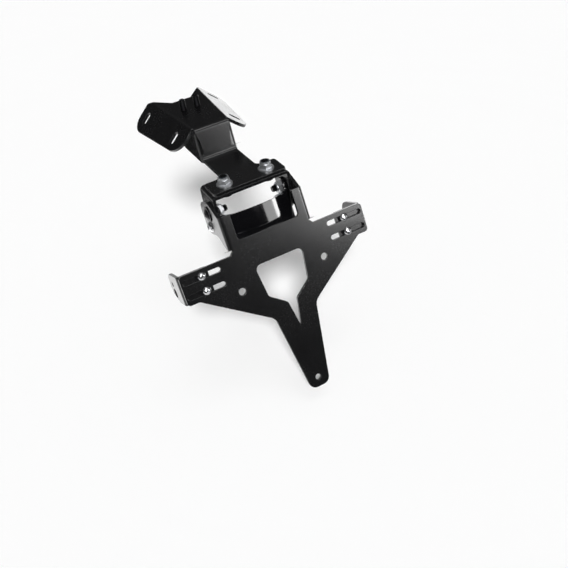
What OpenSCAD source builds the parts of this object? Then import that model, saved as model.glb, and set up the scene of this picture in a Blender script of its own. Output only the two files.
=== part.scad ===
// Tail tidy: a folded steel bracket that hangs a licence plate and two
// indicators behind a motorbike's tail.
// Millimetres. X runs across the bike, Y forward and Z up. The origin is on
// the saddle's top face, midway between its two studs.

/* [Sheet] */
// Thickness of every folded steel sheet
sheet_t = 3; // [2.5:0.5:3.5]
// Inside radius of the folds
fold_r = 1; // [0.5:0.5:3]

/* [Saddle] */
// From the studs back to the saddle's rear fold
saddle_back = 50; // [45:1:60]
// From the studs to the middle of the saddle's front edge
saddle_nose = 24; // [20:1:30]
// From the studs to the front ends of the ear folds
saddle_front = 42; // [36:1:50]
// Half the width across the ear folds at the rear
saddle_half_back = 17; // [16:1:20]
// Half the width across the ear folds at the front
saddle_half_front = 24; // [22:1:28]
// Half the width of the straight middle of the front edge
nose_half = 9.5; // [7:0.5:12]
// Angle by which the ears are folded down
ear_angle = 41; // [30:1:50]
// Width of an ear at its rear end, out from the fold
ear_w_back = 27; // [25:1:32]
// Width of an ear at its front end, out from the fold
ear_w_front = 32.5; // [30:0.5:38]
// Reach of the ears ahead of their folds
ear_lead = 6; // [3:0.5:8]
// Width of the mounting slots in the ears
ear_slot_w = 6.5; // [5.5:0.5:8.5]
// Overall length of the mounting slots in the ears
ear_slot_len = 12.5; // [10:0.5:15]
// From the ear fold to the middle of its slots
ear_slot_out = 16.5; // [15:0.5:18]
// From the rear end of the ear fold to the rear slot
ear_slot_back = 23; // [18:1:28]
// Distance between the two slots of an ear
ear_slot_pitch = 62; // [50:1:64]

/* [Studs] */
// Diameter of the two studs on the saddle
stud_d = 6; // [5:0.5:8]
// Distance between the two studs
stud_pitch = 14; // [12:1:16]
// Height of the studs above the saddle
stud_h = 10; // [8:1:20]
// How much wider a stud's pressed-in shank is than its thread
stud_shank = 0.6; // [0.4:0.1:1]

/* [Strap] */
// Drop from the saddle's top face to the strap's top face
drop = 27.5; // [22:0.5:35]
// Distance that the slope leans back on its way down
slope_run = 7; // [3:0.5:10]
// Inside radius of the fold at the slope's foot
foot_r = 3.5; // [2:0.5:5]
// Half the width of the slope over its two webs
web_half = 18.4; // [17:0.2:22]
// Half the width of the strap
strap_half = 17; // [15:0.5:20]
// Length of the bare strap, from the slope's foot to the strap's head
strap_len = 41; // [35:0.5:60]
// Depth of the strap's head, front to back
head_depth = 23; // [20:0.5:26]
// Radius of the flares between the strap and its head
flare_r = 5; // [3:0.5:8]
// Length of the web under the saddle, forward from the slope's foot
web_len = 44; // [38:1:50]

/* [Hanger] */
// Width of the hanger over its two arms
hanger_w = 74; // [70:1:84]
// Depth of the hanger, front to back
hanger_depth = 28; // [26:1:34]
// Distance between the two bolts through the hanger's top
top_bolt_pitch = 40; // [36:1:44]
// From the hanger's rear edge to the top bolts
top_bolt_in = 10.4; // [8:0.2:13]
// From the hanger's rear edge to the side bolts
side_bolt_in = 11.4; // [10.4:0.2:14]
// Depth of the pivot bolts below the hanger's top face
pivot_drop = 19.2; // [17:0.2:24]
// From a pivot bolt down to the clamp bolt below it
clamp_pitch = 12.8; // [12.5:0.1:14]
// Radius of the arms' rounded lower ends
arm_end_r = 9; // [8:0.5:10]

/* [Base plate] */
// Lean of the base plate from the vertical
plate_tilt = 22; // [15:1:30]
// From the wings' top edge up to the pivot bolts, along the plate
pivot_up = 35.8; // [34:0.2:40]
// Depth of the pivot bolts behind the plate's front face
pivot_deep = 26; // [24:0.5:30]
// Width over the ends of the two wings
wing_span = 178; // [170:1:190]
// Height of a wing at its end
wing_h = 26.5; // [25:0.5:30]
// Length of the straight lower edge at a wing's end
wing_foot = 10.5; // [8:0.5:14]
// From the wings' top edge down to the kink above the tail
kink_drop = 67.5; // [60:0.5:75]
// Half the plate's width at the kink
kink_half = 20.5; // [18:0.5:24]
// From the wings' top edge down to the tail's lower end
tail_drop = 144; // [130:1:160]
// Half the tail's width at its lower end
tail_half = 9.3; // [8:0.1:12]
// From the wings' top edge up to the top of the two strips
strip_h = 33.6; // [31:0.2:34]
// Width of the open window between the two strips
window_w = 59; // [54:1:61]
// From the wings' top edge up to the window's lower edge
window_up = 10.2; // [8:0.2:14]
// Depth of the side flanges behind the plate's front face
flange_deep = 42.5; // [40:0.5:46]

/* [Plate holes] */
// Diameter of the two holes beside the kite-shaped opening
side_hole_d = 6.5; // [5:0.5:8]
// Distance between the two side holes
side_hole_pitch = 81.6; // [76:0.2:86]
// From the wings' top edge down to the side holes
side_hole_drop = 32.7; // [30:0.1:36]
// Diameter of the hole in the tail
tail_hole_d = 5.5; // [4:0.5:8]
// From the wings' top edge down to the hole in the tail
tail_hole_drop = 134.9; // [120:0.1:136]

/* [Indicator brackets] */
// How far the indicator brackets stand out past the wings' ends
indicator_past = 1; // [0:0.5:6]
// Width of an indicator bracket's face
indicator_face = 27.5; // [26:0.5:32]
// Height of an indicator bracket
indicator_h = 26; // [24:0.5:28]
// Depth of an indicator bracket's flange, front to back
indicator_deep = 34; // [32:0.5:40]
// Diameter of the hole for the indicator's stem
stem_hole_d = 8.4; // [6:0.2:10.4]
// Diameter of the small hole above it
pilot_hole_d = 4.2; // [3:0.2:5]
// Width of the adjustment slots in the wings
wing_slot_w = 4.6; // [4.4:0.1:5]
// Overall length of the adjustment slots in the wings
wing_slot_len = 34.8; // [30:0.2:36]
// Distance between the two slots of a wing
wing_slot_pitch = 13.2; // [12:0.1:14]
// From the flange's outer face to the screws
screw_in = 20.4; // [17:0.1:22]

/* [Spray guard] */
// Thickness of the spray guard
guard_t = 2; // [1.5:0.5:2.5]
// Depth of the spray guard behind the plate's front face
guard_deep = 11; // [10:0.5:13]
// Radius of the spray guard's bow
guard_bow_r = 90; // [80:5:200]
// Outside radius of the spray guard's side folds
guard_fold_r = 6; // [4:0.5:8]

/* [Fasteners] */
// Diameter of the bracket's bolts
bolt_d = 6; // [5:1:6]
// Diameter of the wing screws
screw_d = 4; // [3:0.5:4]
// Clearance of a bolt or screw in its hole, on the diameter
hole_clear = 0.4; // [0.2:0.1:0.6]

/* [Hidden] */

// Smoothness of round surfaces and of the arcs in outlines
$fn = 48;
arc_step = 9;
eps = 0.01;

// Colours
coat = "#26282a";
gloss = "#0c0c0e";
zinc = "#b9bcc0";
dark_steel = "#1a1a1c";
stainless = "#c8c9cc";

// Folds
bend_r = fold_r + sheet_t;

// Side view of the upper bracket, from the strap's rear end to the saddle
slope_foot = -saddle_back - slope_run;
head_front = slope_foot - strap_len;
head_back = head_front - head_depth;
head_half = hanger_w / 2 - bend_r + 1.5;
head_corner_r = 3;

// Ears
ear_toe = atan((saddle_half_front - saddle_half_back) / (saddle_front + saddle_back));
ear_len = (saddle_front + saddle_back) / cos(ear_toe);
ear_root = bend_r * tan(ear_angle / 2);
ear_start = bend_r;
// How fast the saddle's slanting front edge runs forward, per mm out from an ear's fold
ear_rake = tan(90 - atan2(saddle_half_front - nose_half, saddle_front - saddle_nose) + ear_toe);
ear_back_r = 18;
ear_front_r = 14;
ear_slot_run = ear_slot_len - ear_slot_w;
web_lean = 14;
slope_lean = atan(slope_run / drop);

// Hanger
hanger_top = -drop - sheet_t;
hanger_front = head_back + hanger_depth;
arm_inner = hanger_w / 2 - sheet_t;
side_bolt_y = head_back + side_bolt_in;
pivot_z = hanger_top - pivot_drop;
clamp_z = pivot_z - clamp_pitch;
arm_taper_z = pivot_z - 2;
top_bolt_y = head_back + top_bolt_in;
bolt_hole_d = bolt_d + hole_clear;

// Base plate, in its own frame: X across, Y up along the plate from the
// wings' top edge, Z out of the front face
neck_half = hanger_w / 2 + sheet_t;
wing_half = wing_span / 2;
wing_corner_r = 3;
flange_base = 4;
flange_low = 16.5;
flange_high = pivot_up + 10.7;
clamp_turn = 12;
plate_origin_y = side_bolt_y - pivot_up * sin(plate_tilt) - pivot_deep * cos(plate_tilt);
plate_origin_z = pivot_z - pivot_up * cos(plate_tilt) + pivot_deep * sin(plate_tilt);

// Kite-shaped opening of the base plate, as shares of the plate's own sizes
kite_top = -16.4;
kite_top_half = 23.4;
kite_mid = -46;
kite_mid_half = 19.8;
kite_low = -57.5;
kite_low_half = 4.6;
kite_end = -81;

// Indicator brackets
flange_out = wing_half + indicator_past;
screw_x = flange_out - screw_in;
slot_y = [-wing_h / 2 + wing_slot_pitch / 2, -wing_h / 2 - wing_slot_pitch / 2];
slot_x = screw_x;
screw_hole_d = screw_d + hole_clear;
stem_deep = indicator_deep - 10;

// Spray guard
guard_low = 5;
guard_high = strip_h - 3.3;
guard_half = arm_inner;
guard_tab_r = 7.5;

// Fastener sizes, as multiples of the thread diameter
nut_af = bolt_d * 10 / 6;
nut_h = bolt_d;
flange_d = bolt_d * 14.2 / 6;
flange_h = 1.2;
flange_nut_h = 8;
head_d = bolt_d * 10.6 / 6;
head_h = 3.3;
hex_head_h = 4;
side_bolt_len = 2 * sheet_t + guard_t + flange_nut_h + 1;
thread_fit = 0.1;
screw_head_d = screw_d * 7.6 / 4;
screw_head_h = screw_d * 2.2 / 4;
screw_nut_af = screw_d * 7 / 4;
screw_nut_h = screw_d * 5 / 4;

// Outline geometry

function unit(v) = v / norm(v);
function right_of(v) = [v.y, -v.x];

// The arc that rounds corner b between its neighbours a and c
function corner(a, b, c, r) =
    let (
        p = [b.x, b.y],
        u = unit([a.x, a.y] - p),
        v = unit([c.x, c.y] - p),
        half = acos(max(-1, min(1, u * v))) / 2
    )
    r <= 0 || half > 89.9 ? [p] :
    let (
        middle = p + unit(u + v) * r / sin(half),
        from = p + u * r / tan(half) - middle,
        to = p + v * r / tan(half) - middle,
        start = atan2(from.y, from.x),
        turn = atan2(from.x * to.y - from.y * to.x, from * to),
        steps = max(1, ceil(abs(turn) / arc_step))
    )
    [for (i = [0:steps]) middle + r * [cos(start + turn * i / steps), sin(start + turn * i / steps)]];

// A closed outline of corners [x, y, radius]
function rounded(pts) =
    let (n = len(pts))
    [for (i = [0:n - 1]) each corner(pts[(i + n - 1) % n], pts[i], pts[(i + 1) % n],
                                     len(pts[i]) > 2 ? pts[i][2] : 0)];

// The same outline with its mirror image, for corners given from top to bottom on the right
function both_sides(pts) = concat(pts, [for (i = [len(pts) - 1:-1:0]) [-pts[i].x, pts[i].y, pts[i][2]]]);

// An open path moved to its right by t
function shifted(path, t) =
    let (last = len(path) - 1)
    [for (i = [0:last])
        let (
            n1 = right_of(unit(path[min(i + 1, last)] - path[min(i, last - 1)])),
            n0 = right_of(unit(path[max(i, 1)] - path[max(i - 1, 0)]))
        )
        path[i] + (n0 + n1) * t / (1 + n0 * n1)];

// The section of a sheet whose left face follows a path, with round folds where it turns sharply.
// A third number at a point of the path is that fold's own inside radius.
function section(points, t, r) =
    let (
        path = [for (p = points) [p.x, p.y]],
        last = len(path) - 1,
        other = shifted(path, t),
        turns = [for (i = [0:last]) i == 0 || i == last ? 0 :
            let (a = path[i] - path[i - 1], b = path[i + 1] - path[i])
            atan2(a.x * b.y - a.y * b.x, a * b)],
        inside = [for (p = points) len(p) > 2 ? p[2] : r],
        radius = function (i, left) abs(turns[i]) < 20 ? 0 : inside[i] + ((turns[i] > 0) == left ? 0 : t)
    )
    concat(
        [path[0]],
        [for (i = [1:last - 1]) each corner(path[i - 1], path[i], path[i + 1], radius(i, true))],
        [path[last], other[last]],
        [for (i = [last - 1:-1:1]) each corner(other[i + 1], other[i], other[i - 1], radius(i, false))],
        [other[0]]
    );

// Helpers

// Extrudes a side view [y, z] across the bike, centred
module across(w) {
    translate([-w / 2, 0, 0])
        rotate([90, 0, 90])
            linear_extrude(w)
                children();
}

// Repeats a right-hand shape on the left
module paired() {
    children();
    mirror([1, 0, 0])
        children();
}

// A slot of overall length len and width w, along X
module slot(len, w) {
    square([len - w, w], center = true);
    for (s = [-1, 1])
        translate([s * (len - w) / 2, 0])
            circle(d = w);
}

// Puts what is drawn in the base plate's own frame into place
module plate_frame() {
    translate([0, plate_origin_y, plate_origin_z])
        rotate([90 - plate_tilt, 0, 0])
            children();
}

// A side view [depth behind the front face, height up the plate], drawn on the
// plane X = x and thickened inwards by t, in the base plate's frame
module side_sheet(x, t) {
    translate([x - t, 0, 0])
        rotate([0, 90, 0])
            linear_extrude(t)
                children();
}

// Upper bracket

module strap_outline() {
    polygon(rounded(both_sides([
        [saddle_half_back, ear_start - saddle_back, 0],
        [strap_half, slope_foot - 1, 0],
        [strap_half, head_front, flare_r],
        [head_half, head_front, head_corner_r],
        [head_half, head_back, head_corner_r]
    ])));
}

module saddle_outline() {
    root = ear_root / cos(ear_toe);
    along = ear_len - ear_root * ear_rake;
    polygon(rounded(both_sides([
        [nose_half, saddle_nose, 0],
        [
            saddle_half_back - ear_root * cos(ear_toe) + along * sin(ear_toe),
            -saddle_back + ear_root * sin(ear_toe) + along * cos(ear_toe),
            0
        ],
        [saddle_half_back - root, ear_start - saddle_back, 0]
    ])));
}

module folded_strap() {
    profile = [
        [head_back, -drop],
        [slope_foot, -drop, foot_r],
        [-saddle_back, 0],
        [ear_start - saddle_back + eps, 0]
    ];
    relief_low = foot_r + 0.6 - drop;
    difference() {
        intersection() {
            across(hanger_w)
                polygon(section(profile, sheet_t, fold_r));
            translate([0, 0, hanger_top - 1])
                linear_extrude(drop + sheet_t + 2)
                    strap_outline();
        }
        paired()
            translate([web_half - bend_r, slope_foot - bend_r, relief_low])
                cube([hanger_w, slope_run + 3 * bend_r, -bend_r - relief_low]);
    }
}

// The right ear, from the fold's rear end
module ear() {
    translate([saddle_half_back, -saddle_back, 0])
        rotate([0, 0, -ear_toe]) {
            bend = [
                [-ear_root - eps, 0],
                [0, 0],
                [(ear_root + eps) * cos(ear_angle), -(ear_root + eps) * sin(ear_angle)]
            ];
            intersection() {
                translate([0, ear_len + ear_lead, 0])
                    rotate([90, 0, 0])
                        linear_extrude(ear_len + ear_lead - ear_start)
                            polygon(section(bend, sheet_t, fold_r));
                translate([0, 0, -2 * bend_r])
                    linear_extrude(3 * bend_r)
                        polygon([
                            [-bend_r, 0],
                            [bend_r, 0],
                            [bend_r, ear_len + bend_r * ear_rake],
                            [-bend_r, ear_len - bend_r * ear_rake]
                        ]);
            }
            rotate([0, ear_angle, 0])
                translate([0, 0, -sheet_t])
                    linear_extrude(sheet_t)
                        difference() {
                            polygon(rounded([
                                [ear_root, ear_start],
                                [ear_w_back, ear_start - 2, ear_back_r],
                                [ear_w_front, ear_len + ear_lead, ear_front_r],
                                [ear_lead / ear_rake, ear_len + ear_lead, 2],
                                [ear_root, ear_len + ear_root * ear_rake]
                            ]));
                            for (along = [0, ear_slot_pitch])
                                translate([ear_slot_out, ear_slot_back + along])
                                    slot(ear_slot_len, ear_slot_w);
                        }
        }
}

// Side view of the two webs that close the corner under the slope and the saddle
module web_side() {
    polygon(rounded([
        [slope_foot - bend_r, hanger_top],
        [slope_foot + web_len, hanger_top, 3],
        [slope_foot + web_len + web_lean, -sheet_t + eps],
        [-saddle_back + bend_r, -sheet_t + eps],
        [-saddle_back + fold_r, -bend_r],
        [slope_foot - bend_r, -bend_r]
    ]));
}

// The slope with its webs folded forward
module slope_channel() {
    channel = [
        [web_half, web_len * 2],
        [web_half, 0],
        [-web_half, 0],
        [-web_half, web_len * 2]
    ];
    intersection() {
        translate([0, slope_foot, -drop])
            rotate([-slope_lean, 0, 0])
                translate([0, 0, -4 * sheet_t])
                    linear_extrude(drop + 8 * sheet_t)
                        polygon(section(channel, sheet_t, fold_r));
        across(2 * web_half + 2)
            web_side();
    }
}

module upper_bracket() {
    color(coat)
        difference() {
            union() {
                folded_strap();
                slope_channel();
                translate([0, 0, -sheet_t])
                    linear_extrude(sheet_t)
                        saddle_outline();
                paired()
                    ear();
            }
            for (s = [-1, 1]) {
                translate([s * stud_pitch / 2, 0, -sheet_t - 1])
                    cylinder(d = stud_d + stud_shank + thread_fit, h = sheet_t + 2);
                translate([s * top_bolt_pitch / 2, top_bolt_y, -drop - sheet_t - 1])
                    cylinder(d = bolt_hole_d, h = sheet_t + 2);
            }
        }
}

// A stud with its flat head under the saddle and its pressed-in shank in the saddle's hole
module stud(side) {
    color(dark_steel)
        translate([side * stud_pitch / 2, 0, 0]) {
            translate([0, 0, -sheet_t - 1.2])
                cylinder(d = stud_d + 3, h = 1.2);
            translate([0, 0, -sheet_t - eps])
                cylinder(d = stud_d + stud_shank, h = sheet_t + eps);
            translate([0, 0, -eps])
                cylinder(d = stud_d, h = stud_h - 0.8 + eps);
            translate([0, 0, stud_h - 0.8])
                cylinder(d1 = stud_d, d2 = stud_d - 1.6, h = 0.8);
        }
}

// Hanger

module arm_outline() {
    polygon(rounded([
        [head_back, hanger_top + 1],
        [hanger_front, hanger_top + 1],
        [hanger_front, arm_taper_z, 12],
        [side_bolt_y + arm_end_r, clamp_z - arm_end_r, arm_end_r - 1],
        [side_bolt_y - arm_end_r, clamp_z - arm_end_r, arm_end_r - 1],
        [head_back, arm_taper_z, 12]
    ]));
}

module hanger_bracket() {
    foot = clamp_z - arm_end_r - 1;
    u_shape = [
        [-hanger_w / 2, foot],
        [-hanger_w / 2, hanger_top],
        [hanger_w / 2, hanger_top],
        [hanger_w / 2, foot]
    ];
    color(coat)
        difference() {
            intersection() {
                translate([0, hanger_front, 0])
                    rotate([90, 0, 0])
                        linear_extrude(hanger_depth)
                            polygon(section(u_shape, sheet_t, fold_r));
                across(hanger_w + 2)
                    arm_outline();
            }
            for (s = [-1, 1])
                translate([s * top_bolt_pitch / 2, top_bolt_y, hanger_top - sheet_t - 1])
                    cylinder(d = bolt_hole_d, h = sheet_t + 2);
            for (z = [pivot_z, clamp_z])
                translate([-hanger_w / 2 - 1, side_bolt_y, z])
                    rotate([0, 90, 0])
                        cylinder(d = bolt_hole_d, h = hanger_w + 2);
        }
}

// Base plate

module plate_outline() {
    polygon(rounded(both_sides([
        [neck_half - bend_r, strip_h, 0],
        [neck_half - bend_r, flange_base, 0],
        [neck_half - bend_r + 0.5, flange_base, 0],
        [neck_half + 0.5, 0, 0],
        [wing_half, 0, wing_corner_r],
        [wing_half, -wing_h, wing_corner_r],
        [wing_half - wing_foot, -wing_h, 4],
        [kink_half, -kink_drop, 10],
        [tail_half, -tail_drop, tail_half - 2]
    ])));
}

module plate_cutouts() {
    polygon(rounded(both_sides([
        [window_w / 2, strip_h + 1, 0],
        [window_w / 2, window_up, 3]
    ])));
    polygon(rounded(both_sides([
        [kite_top_half, kite_top, 5],
        [kite_mid_half, kite_mid, 5],
        [kite_low_half, kite_low, 5],
        [0.4, kite_end, 0]
    ])));
    for (s = [-1, 1]) {
        translate([s * side_hole_pitch / 2, -side_hole_drop])
            circle(d = side_hole_d);
        for (y = slot_y)
            translate([s * slot_x, y])
                slot(wing_slot_len, wing_slot_w);
    }
    translate([0, -tail_hole_drop])
        circle(d = tail_hole_d);
}

// The fold between the right strip and its side flange
module neck_fold() {
    corner_path = [
        [neck_half - bend_r - eps, 0],
        [neck_half, 0],
        [neck_half, -bend_r - eps]
    ];
    translate([0, strip_h, 0])
        rotate([90, 0, 0])
            linear_extrude(strip_h - flange_base)
                polygon(section(corner_path, sheet_t, fold_r));
}

// The right side flange, which carries the pivot and the clamp slot
module side_flange() {
    side_sheet(neck_half, sheet_t)
        difference() {
            polygon(rounded([
                [bend_r, flange_base],
                [bend_r, strip_h],
                [pivot_deep - 7, flange_high, 12],
                [flange_deep, flange_high, 9],
                [flange_deep, flange_low, 9],
                [pivot_deep - 6, flange_low, 12],
                [bend_r + 3, flange_base]
            ]));
            translate([pivot_deep, pivot_up])
                circle(d = bolt_hole_d);
            clamp_slot();
        }
}

// The slot in which the clamp bolt travels, in the side flange's drawing plane
module clamp_slot() {
    bow = clamp_pitch * (1 - cos(clamp_turn));
    width = bolt_hole_d + bow;
    translate([pivot_deep, pivot_up])
        rotate(plate_tilt)
            translate([0, bow / 2 - clamp_pitch])
                slot(2 * clamp_pitch * sin(clamp_turn) + width, width);
}

module base_plate() {
    color(coat)
        plate_frame() {
            translate([0, 0, -sheet_t])
                linear_extrude(sheet_t)
                    difference() {
                        plate_outline();
                        plate_cutouts();
                    }
            paired() {
                neck_fold();
                side_flange();
            }
        }
}

// Spray guard

module guard_side() {
    clamp_at = [
        pivot_deep + clamp_pitch * sin(plate_tilt),
        pivot_up - clamp_pitch * cos(plate_tilt)
    ];
    polygon(rounded([
        [0, guard_low],
        [0, guard_high],
        [pivot_deep - guard_tab_r, guard_high, 4],
        [pivot_deep - guard_tab_r, pivot_up + guard_tab_r, guard_tab_r - 0.5],
        [pivot_deep + guard_tab_r, pivot_up + guard_tab_r, guard_tab_r - 0.5],
        [clamp_at.x + guard_tab_r, clamp_at.y, guard_tab_r - 0.5],
        [clamp_at.x + 2, clamp_at.y - guard_tab_r, guard_tab_r - 2],
        [guard_deep + 8, guard_low, 6]
    ]));
}

module spray_guard() {
    bow_half = guard_half - guard_fold_r - 2;
    bow_fall = function (x) -guard_deep - x * x / (2 * guard_bow_r);
    bow = [for (i = [-6:6]) [bow_half * i / 6, bow_fall(bow_half * i / 6)]];
    edge = bow_fall(guard_half);
    tab_end = -pivot_deep - clamp_pitch - 2 * guard_tab_r;
    path = concat(
        [[-guard_half, tab_end], [-guard_half, edge]],
        bow,
        [[guard_half, edge], [guard_half, tab_end]]
    );
    color(gloss)
        difference() {
            plate_frame()
                intersection() {
                    translate([0, guard_high + 20, 0])
                        rotate([90, 0, 0])
                            linear_extrude(guard_high + 20)
                                polygon(section(path, guard_t, guard_fold_r - guard_t));
                    side_sheet(guard_half + 1, 2 * guard_half + 2)
                        guard_side();
                }
            for (z = [pivot_z, clamp_z])
                translate([-guard_half - 1, side_bolt_y, z])
                    rotate([0, 90, 0])
                        cylinder(d = bolt_hole_d, h = 2 * guard_half + 2);
        }
}

// Indicator brackets

module indicator_side() {
    polygon(rounded([
        [sheet_t + bend_r, 0],
        [sheet_t + indicator_deep, 0, 10],
        [sheet_t + indicator_deep, -indicator_h * 0.75, 3],
        [sheet_t + indicator_deep / 2, -indicator_h, 5],
        [sheet_t + bend_r, -indicator_h]
    ]));
}

// The right indicator bracket: a face behind the wing and a flange folded forward
module right_bracket_shape() {
    angle_path = [
        [flange_out - indicator_face, -sheet_t],
        [flange_out, -sheet_t],
        [flange_out, -sheet_t - bend_r - eps]
    ];
    plate_frame()
        translate([0, -(wing_h - indicator_h) / 2, 0])
            difference() {
                union() {
                    intersection() {
                        rotate([90, 0, 0])
                            linear_extrude(indicator_h)
                                polygon(section(angle_path, sheet_t, fold_r));
                        translate([0, 0, -2 * sheet_t - bend_r])
                            linear_extrude(2 * bend_r + 2 * sheet_t)
                                polygon(rounded([
                                    [flange_out - indicator_face, 0, 2],
                                    [flange_out + 1, 0],
                                    [flange_out + 1, -indicator_h],
                                    [flange_out - indicator_face, -indicator_h, 2]
                                ]));
                    }
                    side_sheet(flange_out, sheet_t)
                        indicator_side();
                }
                for (y = slot_y)
                    translate([screw_x, y + (wing_h - indicator_h) / 2, -2 * sheet_t - 1])
                        cylinder(d = screw_hole_d, h = sheet_t + 2);
                translate([flange_out - sheet_t - 1, 0, 0])
                    rotate([0, 90, 0]) {
                        translate([stem_deep + sheet_t, -indicator_h * 0.68, 0])
                            cylinder(d = stem_hole_d, h = sheet_t + 2);
                        translate([stem_deep + sheet_t, -indicator_h * 0.36, 0])
                            cylinder(d = pilot_hole_d, h = sheet_t + 2);
                    }
            }
}

module indicator_bracket(side) {
    color(coat)
        mirror([side < 0 ? 1 : 0, 0, 0])
            right_bracket_shape();
}

// Fasteners, drawn along +Z from the face that they bear on

module hexagon(af) {
    circle(d = af / cos(30), $fn = 6);
}

// A hexagon prism with its upper corners turned off
module hex_block(af, h) {
    intersection() {
        linear_extrude(h)
            hexagon(af);
        union() {
            cylinder(d = af / cos(30) + 1, h = h - 0.8);
            translate([0, 0, h - 0.8 - eps])
                cylinder(d1 = af / cos(30), d2 = af * 0.96, h = 0.8 + eps);
        }
    }
}

// A lock nut with a plain collar, and a flange where flange_h is above 0
module lock_nut(d, af, h, skirt_d, skirt_h) {
    collar = h * 0.25;
    difference() {
        union() {
            if (skirt_h > 0) {
                cylinder(d = skirt_d, h = skirt_h);
                translate([0, 0, skirt_h - eps])
                    cylinder(d1 = skirt_d - 0.6, d2 = af, h = 1.2);
            }
            hex_block(af, h - collar);
            translate([0, 0, h - collar - eps])
                cylinder(d = af * 0.92, h = collar - 0.5 + eps);
            translate([0, 0, h - 0.5 - eps])
                cylinder(d1 = af * 0.92, d2 = af * 0.8, h = 0.5 + eps);
        }
        translate([0, 0, -1])
            cylinder(d = d + thread_fit, h = h + 2);
    }
}

// The shank of a bolt, down from the face under its head
module shank(d, len) {
    translate([0, 0, -len])
        cylinder(d = d, h = len + eps);
    translate([0, 0, -len - 0.6])
        cylinder(d1 = d - 1.2, d2 = d, h = 0.6 + eps);
}

// A button head with a hexagon socket
module button_head(d, h, socket) {
    ball_r = (d * d / 4 + h * h) / (2 * h);
    difference() {
        intersection() {
            translate([0, 0, h - ball_r])
                sphere(r = ball_r);
            cylinder(d = d + 1, h = h + 1);
        }
        translate([0, 0, h * 0.4])
            linear_extrude(h)
                hexagon(socket);
    }
}

module button_screw(d, len, head, h) {
    button_head(head, h, d * 2.5 / 4);
    shank(d, len);
}

module flange_screw(d, len) {
    cylinder(d = flange_d, h = flange_h);
    translate([0, 0, flange_h - eps])
        button_head(head_d, head_h - flange_h, d * 4 / 6);
    shank(d, len);
}

module hex_screw(d, len) {
    rotate([0, 0, 30])
        hex_block(nut_af, hex_head_h);
    shank(d, len);
}

// Places a fastener on the outer or inner face of one side of the hanger,
// with its own +Z pointing away from the arm
module on_side(x, z, side, outwards) {
    translate([side * x, side_bolt_y, z])
        rotate([0, side * (outwards ? 90 : -90), 0])
            children();
}

module pivot_bolt(side) {
    color(dark_steel)
        on_side(neck_half, pivot_z, side, true)
            flange_screw(bolt_d, side_bolt_len);
}

module pivot_nut(side) {
    color(zinc)
        on_side(arm_inner - guard_t, pivot_z, side, false)
            rotate([0, 0, 30])
                lock_nut(bolt_d, nut_af, nut_h, 0, 0);
}

module clamp_bolt(side) {
    color(stainless)
        on_side(neck_half + 2 * eps, clamp_z, side, true)
            button_screw(bolt_d, side_bolt_len, head_d, head_h);
}

module clamp_nut(side) {
    color(zinc)
        on_side(arm_inner - guard_t, clamp_z, side, false)
            lock_nut(bolt_d, nut_af, flange_nut_h, flange_d, flange_h);
}

module top_bolt(side) {
    color(zinc)
        translate([side * top_bolt_pitch / 2, top_bolt_y, hanger_top - sheet_t])
            rotate([180, 0, 0])
                hex_screw(bolt_d, 2 * sheet_t + flange_nut_h);
}

module top_nut(side) {
    color(zinc)
        translate([side * top_bolt_pitch / 2, top_bolt_y, -drop])
            lock_nut(bolt_d, nut_af, flange_nut_h, flange_d, flange_h);
}

module wing_screw(side, row) {
    color(stainless)
        plate_frame()
            translate([side * screw_x, slot_y[row], 0])
                button_screw(screw_d, 2 * sheet_t + screw_nut_h, screw_head_d, screw_head_h);
}

module wing_nut(side, row) {
    color(zinc)
        plate_frame()
            translate([side * screw_x, slot_y[row], -2 * sheet_t])
                rotate([180, 0, 0])
                    lock_nut(screw_d, screw_nut_af, screw_nut_h, 0, 0);
}

upper_bracket();
stud(-1);  // left_stud
stud(1);  // right_stud
hanger_bracket();
spray_guard();
base_plate();
top_bolt(-1);  // left_top_bolt
top_bolt(1);  // right_top_bolt
top_nut(-1);  // left_top_nut
top_nut(1);  // right_top_nut
pivot_bolt(-1);  // left_pivot_bolt
pivot_bolt(1);  // right_pivot_bolt
pivot_nut(-1);  // left_pivot_nut
pivot_nut(1);  // right_pivot_nut
clamp_bolt(-1);  // left_clamp_bolt
clamp_bolt(1);  // right_clamp_bolt
clamp_nut(-1);  // left_clamp_nut
clamp_nut(1);  // right_clamp_nut
indicator_bracket(-1);  // left_indicator_bracket
indicator_bracket(1);  // right_indicator_bracket
wing_screw(-1, 0);  // left_upper_screw
wing_screw(-1, 1);  // left_lower_screw
wing_screw(1, 0);  // right_upper_screw
wing_screw(1, 1);  // right_lower_screw
wing_nut(-1, 0);  // left_upper_nut
wing_nut(-1, 1);  // left_lower_nut
wing_nut(1, 0);  // right_upper_nut
wing_nut(1, 1);  // right_lower_nut
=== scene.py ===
"""Tail tidy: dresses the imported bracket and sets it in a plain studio.

The dressing is the powder coat, the polished spray guard and the fasteners. Lengths are metres in the
shared frame: X across the bike, Y forward and Z up. The origin is on the saddle, midway between the
studs."""

import math

import bmesh
import bpy
from mathutils import Matrix, Vector


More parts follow.
